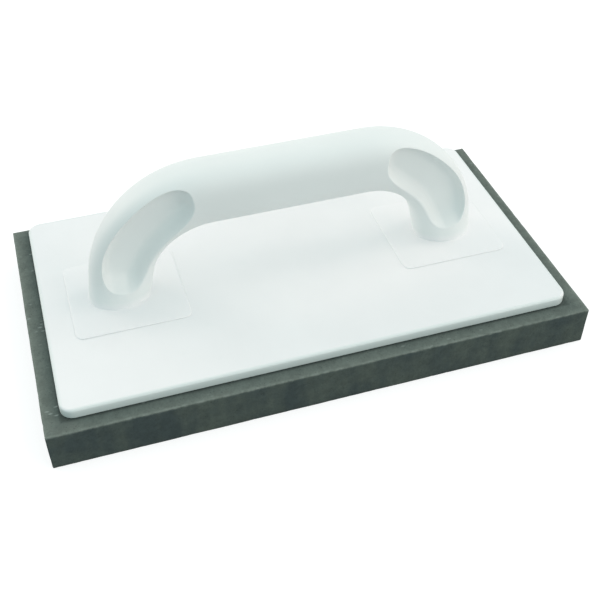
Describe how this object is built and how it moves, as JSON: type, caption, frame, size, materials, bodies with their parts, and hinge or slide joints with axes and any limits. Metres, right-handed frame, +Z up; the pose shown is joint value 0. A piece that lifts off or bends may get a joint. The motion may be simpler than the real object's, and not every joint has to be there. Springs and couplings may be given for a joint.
{
  "type": "sponge float",
  "caption": "Plasterer's sponge float: a thick cellular rubber pad under a white moulded plate, with a closed D handle let into the plate.",
  "frame": {"origin": "centre of the pad's working face, on the surface that the float rests on", "axes": "+X along the float's length, +Y across it, +Z up through the handle"},
  "size_m": [0.25, 0.14, 0.0885],
  "materials": {
    "sponge_rubber": "matt, fine open cells",
    "glue": "dried contact glue",
    "plate_plastic": "satin moulded",
    "handle_plastic": "satin moulded",
    "screw_steel": "zinc plated"
  },
  "bodies": {
    "root": {"sponge_pad": "sponge_rubber", "glue_line": "glue", "base_plate": "plate_plastic", "handle": "handle_plastic", "screw_left_outer": "screw_steel", "screw_left_inner": "screw_steel", "screw_right_inner": "screw_steel", "screw_right_outer": "screw_steel"}
  },
  "joints": []
}
